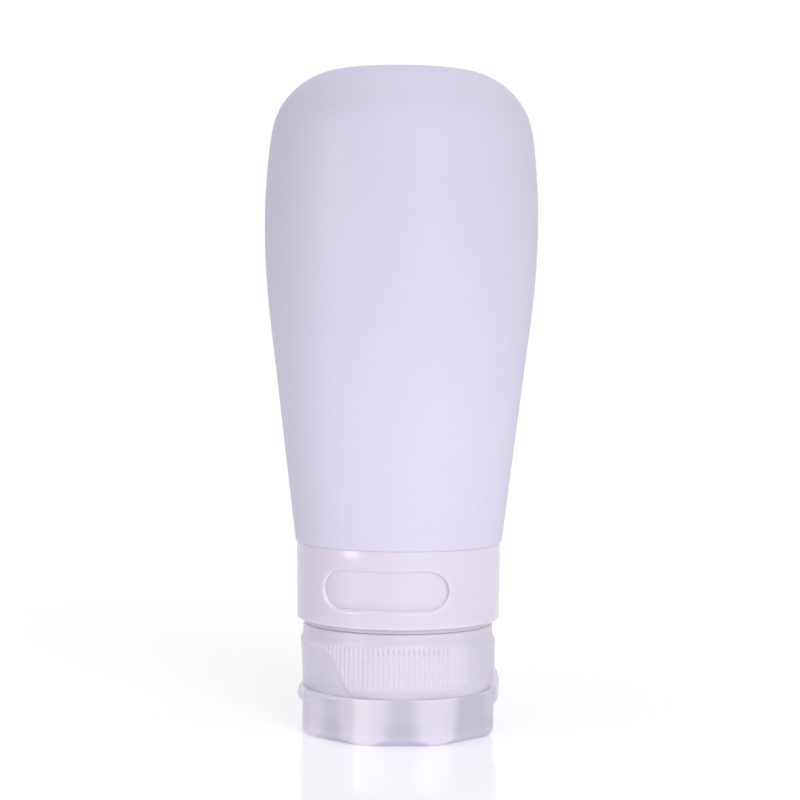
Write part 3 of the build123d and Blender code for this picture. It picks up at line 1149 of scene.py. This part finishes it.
@dataclass
class SlitValve:
    """The slit valve: a seated flange and a domed skin cut crosswise into four flaps."""

    low: float = 9.6 * MM
    flange: float = 5.6 * MM
    flange_edge: float = 0.1 * MM
    thickness: float = 0.8 * MM
    open_radius: float = 3.1 * MM
    skin_thickness: float = 0.5 * MM
    rise: float = 0.9 * MM
    slit_half: float = 2.1 * MM
    slit_gap: float = 0.04 * MM

    def quarter(self, radii: Array, turn: float) -> tuple[Array, Array]:
        """Across and along points of one flap, kept off the slits as far as they reach.

        Args:
            radii: the radii of the rows.
            turn: the angle of the flap's first edge.

        Returns:
            The two coordinates, rows by columns.
        """
        angle = np.linspace(0.0, math.pi / 2, 17)
        gap = np.where(radii < self.slit_half, self.slit_gap, 0.0)[:, None]
        across = np.maximum(radii[:, None] * np.cos(angle), gap)
        along = np.maximum(radii[:, None] * np.sin(angle), gap)
        c, s = math.cos(turn), math.sin(turn)
        return c * across - s * along, s * across + c * along

    def build(self) -> bpy.types.Object:
        """Builds each quarter as a loop: over the dome, round the flange and back under it.

        Returns:
            The dressed piece.
        """
        dome = np.concatenate([
            np.linspace(0.0, self.slit_half - 1e-6, 8),
            np.linspace(self.slit_half, self.open_radius, 5),
        ])
        arch = self.rise * (1.0 - (dome / self.open_radius) ** 2)
        high = self.low + self.thickness
        under = high - self.skin_thickness
        rim = np.array([
            (self.flange - self.flange_edge, high),
            (self.flange, high - self.flange_edge),
            (self.flange, self.low + self.flange_edge),
            (self.flange - self.flange_edge, self.low),
            (self.open_radius, self.low),
            (self.open_radius, under),
        ])
        radii = np.concatenate([dome, rim[:, 0], dome[::-1][1:]])
        height = np.concatenate([high + arch, rim[:, 1], (under + arch)[::-1][1:]])
        count = np.count_nonzero(dome < self.slit_half)
        skin = Skin("slit_valve_skin", crease=math.radians(30.0))
        for number in range(4):
            x, y = self.quarter(radii, number * math.pi / 2)
            grid = np.stack([x, y, np.broadcast_to(height[:, None], x.shape)], axis=-1)
            skin.add(grid, flip=True)
            for column, flip in ((0, True), (-1, False)):
                top, low = grid[:count, column], grid[-count:, column]
                skin.add(np.stack([top, low[::-1]]), flip=flip)
        return dress(skin.build(), VALVE_SILICONE, Body.CAP, "slit_valve")


@dataclass
class FlipLid:
    """The flip lid: eight-sided block with crescent thumb tab, round pocket, plug and seal ring.

    The sizes of the ring and the plug are plain millimetres.
    """

    inradius: float = 17.03 * MM
    corner: float = 6.0 * MM
    pocket: float = 15.58 * MM
    plate: float = 2.2 * MM
    # Painted light and shade on the lid's tone: shade over a band above the plate, on the foot and
    # the hinge side, more on the right side than the left, and light all over.
    plate_shade: float = -0.12 * MM
    foot_painted_shade: float = -0.5 * MM
    tone_lift: float = 0.17 * MM
    side_light_lean: float = -0.21 * MM
    hinge_shade: float = -0.65 * MM
    thin: float = 1.47 * MM
    thick: float = 2.03 * MM
    # Painted highlights on the two corners on the tab side.
    corner_glow: float = 0.45
    corner_span: Pair = (0.66 * MM, 0.88 * MM)
    glow_slope: float = 1.3
    band_rise: Pair = (1.0 * MM, 2.0 * MM)
    band_fall: Pair = (5.0 * MM, 3.0 * MM)
    foot_fall: Pair = (1.4 * MM, 0.2 * MM)
    pocket_floor: float = 1.4 * MM
    foot_edge: float = 1.5 * MM
    rim_edge: float = 0.06 * MM
    top: float = 8.16 * MM
    tab_radius: float = 17.1 * MM
    tab_offset: float = 0.9 * MM
    tab_foot: float = 5.15 * MM
    tab_bulge: float = 1.2 * MM
    tab_root: float = 0.5 * MM
    tab_blend: float = 0.25 * MM
    tab_fade: Pair = (-0.12 * MM, 0.22 * MM)
    tab_limit: float = 0.05
    bow_power: float = 2.2
    sweep: float = 24.4 * MM
    ledge_foot: float = 7.3 * MM
    ledge_bulge: float = 0.35 * MM
    ledge_inset: float = 0.3 * MM
    ring_outer: float = 5.7
    ring_inner: float = 4.9
    ring_top: float = 7.6
    plug_outer: float = 3.25
    plug_inner: float = 2.35
    plug_top: float = 8.6
    columns: int = 384

    def octagon(self, angle: Array, inset: Array) -> Array:
        """The radius of an octagon with rounded corners, moved inwards by inset.

        On a flat it is (inradius - inset) / cos(turn from the flat's middle). On a corner
        it is the far crossing with the corner's circle: c cos + sqrt(q^2 - c^2 sin^2).

        Args:
            angle: the angles of the columns.
            inset: the inset of each row, as a column.

        Returns:
            The radii, rows by columns.
        """
        eighth = math.pi / 4
        turn = np.abs((angle + eighth / 2) % eighth - eighth / 2)
        flat = (self.inradius - inset) / np.cos(turn)
        centre = (self.inradius - self.corner) / math.cos(eighth / 2)
        off = eighth / 2 - turn
        q = self.corner - inset
        root = np.maximum(q**2 - (centre * np.sin(off)) ** 2, 0.0)
        bend = centre * np.cos(off) + np.sqrt(root)
        start = np.arctan2(centre * math.sin(eighth / 2), self.inradius - inset)
        return np.where(turn <= start, flat, bend)

    def crescent(self, height: Array, angle: Array) -> Array:
        """The radius of the ledge and the tab, both circles about the tab's own axis.

        A circle of radius R whose centre lies offset to -X has the radius
        sqrt(R^2 - offset^2 sin^2) - offset cos. R bows in towards its upper and lower ends.

        Args:
            height: the heights, as a column.
            angle: the angles, as a row.

        Returns:
            The radii, rows by columns, 0 where there is no ledge.
        """
        across = self.tab_radius * np.sin(angle)
        swept = self.tab_foot + self.sweep - np.sqrt(self.sweep**2 - across**2)
        body = self.inradius - self.tab_root - self.foot_edge * (height < self.foot_edge)
        best = np.zeros(np.broadcast_shapes(height.shape, angle.shape))
        for foot, bulge, start, back in (
            (self.ledge_foot, self.ledge_bulge, self.ledge_foot, self.ledge_inset),
            (self.tab_foot, self.tab_bulge, swept, 0.0),
        ):
            middle, half = (foot + self.top) / 2, (self.top - foot) / 2
            bow = bulge * np.clip(np.abs(height - middle) / half, 0.0, 1.0) ** self.bow_power
            reach = self.tab_radius - back - bow
            radius = np.sqrt(reach**2 - (self.tab_offset * np.sin(angle)) ** 2)
            radius = radius - self.tab_offset * np.cos(angle)
            share = smooth_step(height, start + self.tab_fade[0], start + self.tab_fade[1])
            best = np.maximum(best, body + (radius - body) * share)
        return np.where(np.cos(angle) < self.tab_limit, best, 0.0)

    def build(self) -> bpy.types.Object:
        """Builds the closed lid: underside, eight-sided wall, rim, pocket, seal ring and plug.

        Returns:
            The dressed piece.
        """
        angle = turns(self.columns)
        bend = np.linspace(0.0, math.pi / 2, 7)
        foot = self.foot_edge * (1.0 - np.cos(bend))
        edge, top = (self.top - self.rim_edge) / MM, self.top / MM
        height = np.concatenate([foot, levels((2.0, 4.9, 4), (4.9, edge, 36), (edge, top, 3))])
        over = np.clip(height - self.top + self.rim_edge, 0.0, self.rim_edge)
        inset = self.rim_edge - np.sqrt(self.rim_edge**2 - over**2)
        inset[: len(bend)] = self.foot_edge * (1.0 - np.sin(bend))
        block = self.octagon(angle[None, :], inset[:, None])
        radius = soft_most(block, self.crescent(height[:, None], angle[None, :]), self.tab_blend)
        sole = np.array([0.0, 0.3, 0.6, 0.85, 1.0])[:, None] * radius[:1]
        pocket, floor = self.pocket / MM, self.pocket_floor / MM
        inner = rounded([
            (pocket, top, 0.15),
            (pocket, floor, 0.8),
            (self.ring_outer, floor, 0.2),
            (self.ring_outer, self.ring_top, 0.2),
            (self.ring_inner, self.ring_top, 0.2),
            (self.ring_inner, floor, 0.1),
            (self.plug_outer, floor, 0.1),
            (self.plug_outer, self.plug_top, 0.3),
            (self.plug_inner, self.plug_top, 0.15),
            (self.plug_inner, floor, 0.15),
            (0.0, floor, 0.0),
        ])
        rim = np.vstack([radius[-1:], np.full((1, len(angle)), inner[0, 0])])
        skin = Skin("octagon_lid")
        skin.add(turned(sole, np.zeros(5), angle))
        skin.add(turned(radius, height, angle))
        skin.add(turned(rim, np.full(2, self.top), angle))
        skin.turn(inner, angle)
        piece = skin.build()
        # Painted light and shade through the wall, and painted light on ledges, pocket and corners.
        set_light_and_shade(piece, self.thickness, self.thin, self.thick, self.ledge)
        return dress(piece, LID_PLASTIC, Body.LID, "flip_lid")

    def thickness(self, place: Array) -> Array:
        """The wall between the outside and the pocket, with painted light and shade added, which
        sets the lid's tone.

        Painted shade darkens a band beside the plate's upper side, the foot, and the hinge's half,
        and the right side more than the left; painted light lifts the whole lid a little.

        Args:
            place: the vertices.

        Returns:
            The thicknesses in metres.
        """
        x, y, z = place.T
        angle, reach = np.arctan2(y, x), np.hypot(x, y)
        outside = self.octagon(angle, np.zeros(1))
        sole = (reach < 0.9 * outside) & (z < self.pocket_floor / 2)
        radius = np.where(sole, self.pocket + self.plate, np.maximum(outside, reach))
        band = smooth_step(z, *self.band_rise) * smooth_step(z, *self.band_fall)
        foot = smooth_step(z, *self.foot_fall)
        lean = self.side_light_lean * np.cos(angle)
        lean += self.hinge_shade * smooth_step(np.cos(angle), *SIDE_SPAN)
        lean = self.tone_lift + np.where(sole, 0.0, lean)
        return radius - self.pocket + lean + self.plate_shade * band + self.foot_painted_shade * foot

    def ledge(self, place: Array) -> Array:
        """Painted light on the wall's and the tab's flat top and in the pocket, and painted
        highlights on two corners.

        The painted highlights on the corners on the tab side grow with how far they stand out over
        the flats.

        Args:
            place: the vertices.

        Returns:
            1 on the ledge and in the pocket, up to corner_glow on those corners and 0 elsewhere.
        """
        x, y, z = place.T
        angle, reach = np.arctan2(y, x), np.hypot(x, y)
        outer = reach > self.pocket + self.rim_edge
        pocket = (reach < self.pocket + self.rim_edge) & (z > self.pocket_floor - self.rim_edge)
        stand_out = self.octagon(angle, np.zeros(1)) - self.inradius
        corner = smooth_step(stand_out, *self.corner_span)
        slope = self.glow_slope
        side, two = (np.clip(0.5 - slope * np.cos(n * angle), 0.0, 1.0) for n in (1.0, 2.0))
        glow = self.corner_glow * corner * side * two * outer
        return np.where((z > self.top - 0.5 * self.rim_edge) | pocket, 1.0, glow)


@dataclass
class HingeStrap:
    """The bowed hinge between cap and lid, with a shallow groove outside at the parting.

    The drops of its outer line are plain millimetres.
    """

    fold: float = 8.15 * MM
    top: float = 12.3 * MM
    foot: float = 4.85 * MM
    half_width: float = 4.8 * MM
    reach: float = 17.98 * MM
    upper_drop: float = 0.95
    upper_power: float = 3.2
    sink: float = 0.5
    sink_power: int = 20
    lower_drop: float = 1.15
    lower_power: float = 2.6
    fold_dip: float = 0.11 * MM
    fold_half: float = 0.4 * MM
    root: float = 16.9 * MM
    back: float = 16.6 * MM
    film: float = 0.05 * MM
    side_edge: float = 0.45 * MM
    bend_reach: float = 0.5 * MM

    def outside(self, height: Array) -> Array:
        """The strap's outer line: reach - drop * |t|^power, less a dip at the fold.

        A last sink * t^20 lets its upper end into the cap's wall.

        Args:
            height: the heights.

        Returns:
            The distances from the bottle's axis, along +X.
        """
        above = height > self.fold
        t = (height - self.fold) / (np.where(above, self.top, self.foot) - self.fold)
        upper = self.upper_drop * t**self.upper_power + self.sink * t**self.sink_power
        drop = np.where(above, upper, self.lower_drop * t**self.lower_power) * MM
        dip = self.fold_dip * np.exp(-(((height - self.fold) / self.fold_half) ** 2))
        return self.reach - drop - dip

    def build(self) -> bpy.types.Object:
        """Builds the strap as a loop round its width, its outer line bowed between lid and cap.

        Returns:
            The dressed piece.
        """
        foot, fold, top = self.foot / MM, self.fold / MM, self.top / MM
        height = levels(
            (foot, fold - 0.55, 16), (fold - 0.55, fold - 0.45, 1), (fold - 0.45, fold + 0.45, 14),
            (fold + 0.45, fold + 0.55, 1), (fold + 0.55, top, 18),
        )[:, None]
        turn = np.linspace(-math.pi / 2, math.pi / 2, 25)[None, :]
        across = self.half_width * np.sign(turn) * np.abs(np.sin(turn)) ** 0.7
        near = np.clip(np.abs(across) - self.half_width + self.side_edge, 0.0, self.side_edge)
        edge = self.side_edge - np.sqrt(np.maximum(self.side_edge**2 - near**2, 0.0))
        outer = self.outside(height) - edge
        inner = np.minimum(np.sqrt(self.root**2 - across**2), self.back)
        inner = np.minimum(inner, outer - self.film)
        inner[:, [0, -1]] = outer[:, [0, -1]]
        inner[[0, -1]] = outer[[0, -1]]
        x = np.hstack([outer, inner[:, -2::-1]])
        y = np.broadcast_to(np.hstack([across, across[:, -2::-1]]), x.shape)
        z = np.broadcast_to(height, x.shape)
        strap = Skin("hinge_strap").add(np.stack([x, y, z], axis=-1)).build()
        # With no tone attribute, the strap takes the cap's darker tone colour: painted shade over
        # the whole strap.
        strap.data.materials.append(CAP_PLASTIC.build())
        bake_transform(strap)
        return strap


@dataclass
class Studio:
    """The camera, the lamps, the world and the floor."""

    focal_pixels: float = 2235.0
    picture_pixels: float = 800.0
    sensor: float = 36.0
    distance: float = 400.07 * MM
    height: float = 77.43 * MM
    azimuth: float = math.radians(-2.0)
    pitch: float = math.radians(2.592)
    roll: float = math.radians(0.53)
    side_step: float = 0.02 * MM
    near: float = 10.0 * MM
    ambient: float = 0.5
    floor_glow: float = 0.23
    floor_half: float = 3.0
    aim_height: float = 60.0 * MM
    strip_distance: float = 0.9
    strip_height: float = 0.12

    def camera(self) -> None:
        """Places the camera on its azimuth, pitched down and rolled a little."""
        data = bpy.data.cameras.new("camera")
        data.sensor_width = self.sensor
        data.lens = self.sensor * self.focal_pixels / self.picture_pixels
        data.clip_start = self.near
        camera = placed("camera", data)
        right = Vector((math.cos(self.azimuth), math.sin(self.azimuth), 0.0))
        level = Vector((-math.sin(self.azimuth), math.cos(self.azimuth), 0.0))
        ahead = level * math.cos(self.pitch) - Vector((0, 0, 1)) * math.sin(self.pitch)
        turn = Matrix((right, right.cross(ahead), -ahead)).transposed()
        turn = turn @ Matrix.Rotation(self.roll, 3, "Z")
        place = -level * self.distance + right * self.side_step
        place.z = self.height
        camera.matrix_world = Matrix.Translation(place) @ turn.to_4x4()
        bpy.context.scene.camera = camera

    def lamp(
        self, name: str, place: Triple, size: Pair, power: float, gloss: bool = False
    ) -> None:
        """A soft lamp that faces the middle of the bottle.

        Args:
            name: the lamp's name.
            place: where it stands.
            size: its width and height.
            power: its watts.
            gloss: whether it shows in gloss alone.
        """
        data = bpy.data.lights.new(name, "AREA")
        data.shape = "RECTANGLE"
        data.size, data.size_y = size
        data.energy = power
        lamp = placed(name, data)
        lamp.location = place
        aim = Vector((0.0, 0.0, self.aim_height)) - lamp.location
        lamp.rotation_euler = aim.to_track_quat("-Z", "Y").to_euler()
        lamp.visible_camera = False
        lamp.visible_diffuse = not gloss

    def world(self) -> None:
        """A plain world: white to the eye, in gloss and through clear plastic, dimmer as light."""
        world = bpy.data.worlds.new("studio")
        bpy.context.scene.world = world
        world.use_nodes = True
        nodes = Nodes(world.node_tree)
        path = world.node_tree.nodes.new("ShaderNodeLightPath").outputs
        seen = path["Is Camera Ray"]
        for name in ("Is Glossy Ray", "Is Transmission Ray"):
            seen = nodes.add("Math", {0: seen, 1: path[name]}, operation="MAXIMUM")
        level = {"Value": seen, "To Min": self.ambient, "To Max": 1.0}
        strength = nodes.add("MapRange", level, "Result")
        nodes.feed(world.node_tree.nodes["Background"], {"Color": WHITE, "Strength": strength})

    def floor(self) -> None:
        """A wide white floor with a faint gloss and a faint glow of its own."""
        size = self.floor_half
        corners = [(-size, -size, 0), (size, -size, 0), (size, size, 0), (-size, size, 0)]
        mesh = bpy.data.meshes.new("floor")
        mesh.from_pydata(corners, [], [(0, 1, 2, 3)])
        floor = placed("floor", mesh)
        material = bpy.data.materials.new("floor")
        material.use_nodes = True
        Nodes(material.node_tree).feed(material.node_tree.nodes["Principled BSDF"], {
            "Base Color": (0.96, 0.96, 0.97, 1.0),
            "Roughness": 0.1,
            "IOR": 1.3,
            "Emission Color": WHITE,
            "Emission Strength": self.floor_glow,
        })
        mesh.materials.append(material)

    def build(self) -> None:
        """Sets up the whole studio, with two strips beside the bottle for its gloss."""
        self.camera()
        self.world()
        self.floor()
        self.lamp("key", (0.3, -0.95, 0.4), (0.6, 0.6), 4.1)
        self.lamp("top", (-0.1, -0.25, 0.95), (0.7, 0.7), 0.9)
        for name, degrees, power in (("left_strip", -56.0, 4.6), ("right_strip", 64.0, 0.3)):
            turn = FRONT + math.radians(degrees)
            x, y = self.strip_distance * math.cos(turn), self.strip_distance * math.sin(turn)
            self.lamp(name, (x, y, self.strip_height), (0.26, 0.6), power, gloss=True)
        scene = bpy.context.scene
        scene.view_settings.view_transform = "Standard"
        scene.cycles.use_denoising = True


RINGS = (
    TurnedRing(
        "label_ring", Body.BOTTLE, Slot.LABEL, LABEL_PLASTIC,
        ((16.1, 22.25, 0.1), (17.27, 22.25, 0.15), (17.27, 33.6, 0.15), (16.1, 33.6, 0.1)),
    ),
    TurnedRing(
        "clamp_ring", Body.BOTTLE, Slot.CLAMP, CLAMP_PLASTIC,
        ((14.9, 22.85, 0.25), (16.05, 22.85, 0.15), (16.05, 32.45, 0.15), (14.9, 32.45, 0.25)),
    ),
    TurnedRing(
        "neck_gasket", Body.GASKET, Slot.VALVE, VALVE_SILICONE,
        (
            (11.05, 9.65, 0.15), (14.1, 9.65, 0.15), (14.1, 10.65, 0.15),
            (11.75, 10.65, 0.0), (11.75, 12.45, 0.1), (11.05, 12.45, 0.1),
        ),
    ),
    TurnedRing(
        "valve_retainer", Body.CAP, Slot.CLAMP, CLAMP_PLASTIC,
        ((3.9, 10.4, 0.1), (5.6, 10.4, 0.1), (5.6, 11.2, 0.1), (3.9, 11.2, 0.2)),
    ),
)


def main() -> None:
    """Builds the studio and every piece in order."""
    logging.basicConfig(level=logging.INFO)
    Studio().build()
    lower = (ScrewCap(), SlitValve(), FlipLid(), HingeStrap())
    for piece in (SqueezeBody(), NeckInsert(), *RINGS, CollarSleeve(), *lower):
        piece.build()


if __name__ == "__main__":
    main()
